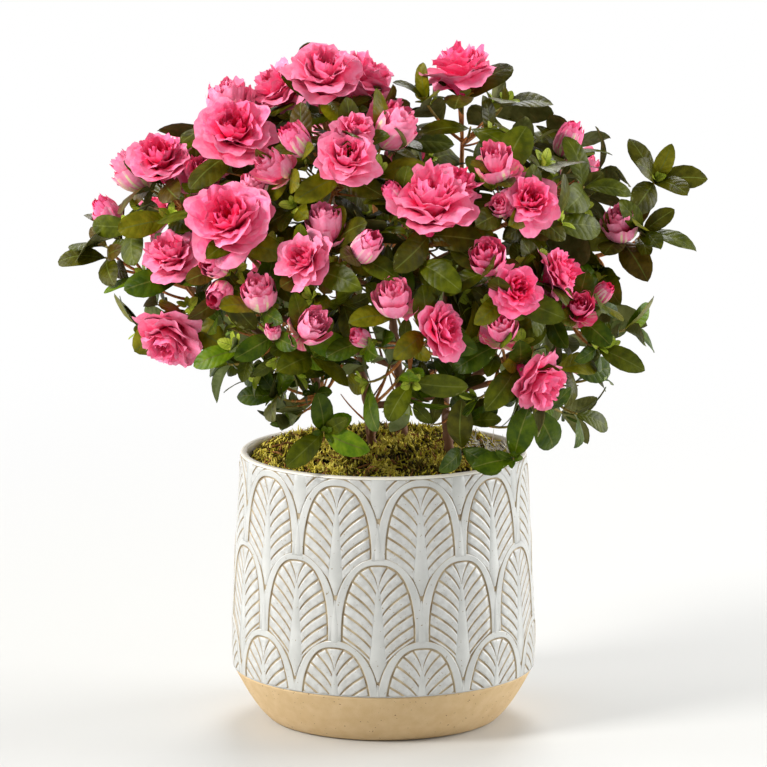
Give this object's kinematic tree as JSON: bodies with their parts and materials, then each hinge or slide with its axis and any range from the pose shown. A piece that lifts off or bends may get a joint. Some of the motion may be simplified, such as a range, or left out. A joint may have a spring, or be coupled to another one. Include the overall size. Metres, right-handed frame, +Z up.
{
  "type": "potted azalea shrub",
  "caption": "Evergreen double-flowered azalea in a round stoneware planter, with moss over the potting mix, on a flat underside.",
  "frame": {"origin": "centre of the planter's flat underside, on the surface that it stands on", "axes": "+Z up, -Y towards the side that the plant is seen from, +X to that viewer's right"},
  "size_m": [0.4006, 0.3001, 0.4268],
  "materials": {
    "glazed_stoneware": "satin white glaze over tan clay",
    "potting_mix": "dark, crumbly",
    "moss": "matte",
    "bark": "rough, reddish brown",
    "foliage_and_flowers": "satin leaves, pink petals"
  },
  "bodies": {
    "root": {"planter": "glazed_stoneware", "potting_mix": "potting_mix", "moss": "moss", "stem_left": "bark", "stem_middle": "bark", "stem_right": "bark", "stem_back": "bark", "bough_crown_middle": "bark", "bough_left_shoulder": "bark", "bough_left_arm": "bark", "bough_left_middle": "bark", "bough_left_low": "bark", "bough_centre_left": "bark", "bough_lower_left": "bark", "bough_centre": "bark", "bough_centre_low": "bark", "bough_right_upper": "bark", "bough_right_shoulder": "bark", "bough_right_arm": "bark", "bough_right_inner": "bark", "bough_right_low": "bark", "bough_bottom_right": "bark", "bough_right_skirt": "bark", "bough_left_skirt": "bark", "bough_low_middle": "bark", "bough_low_right": "bark", "bough_back_left": "bark", "bough_back_right": "bark", "bough_back_centre": "bark", "bough_back_low_left": "bark", "bough_back_low_right": "bark", "spray_crown_top": "foliage_and_flowers", "spray_crown_left": "foliage_and_flowers", "spray_crown_middle": "foliage_and_flowers", "spray_left_shoulder": "foliage_and_flowers", "spray_left_arm": "foliage_and_flowers", "spray_left_middle": "foliage_and_flowers", "spray_left_low": "foliage_and_flowers", "spray_centre_left": "foliage_and_flowers", "spray_lower_left": "foliage_and_flowers", "spray_centre": "foliage_and_flowers", "spray_centre_low": "foliage_and_flowers", "spray_right_top": "foliage_and_flowers", "spray_right_upper": "foliage_and_flowers", "spray_right_shoulder": "foliage_and_flowers", "spray_right_arm": "foliage_and_flowers", "spray_right_inner": "foliage_and_flowers", "spray_right_low": "foliage_and_flowers", "spray_bottom_right": "foliage_and_flowers", "spray_right_skirt": "foliage_and_flowers", "spray_left_skirt": "foliage_and_flowers", "spray_low_middle": "foliage_and_flowers", "spray_low_right": "foliage_and_flowers", "spray_back_top": "foliage_and_flowers", "spray_back_left": "foliage_and_flowers", "spray_back_right": "foliage_and_flowers", "spray_back_centre": "foliage_and_flowers", "spray_back_low_left": "foliage_and_flowers", "spray_back_low_right": "foliage_and_flowers"}
  },
  "joints": []
}
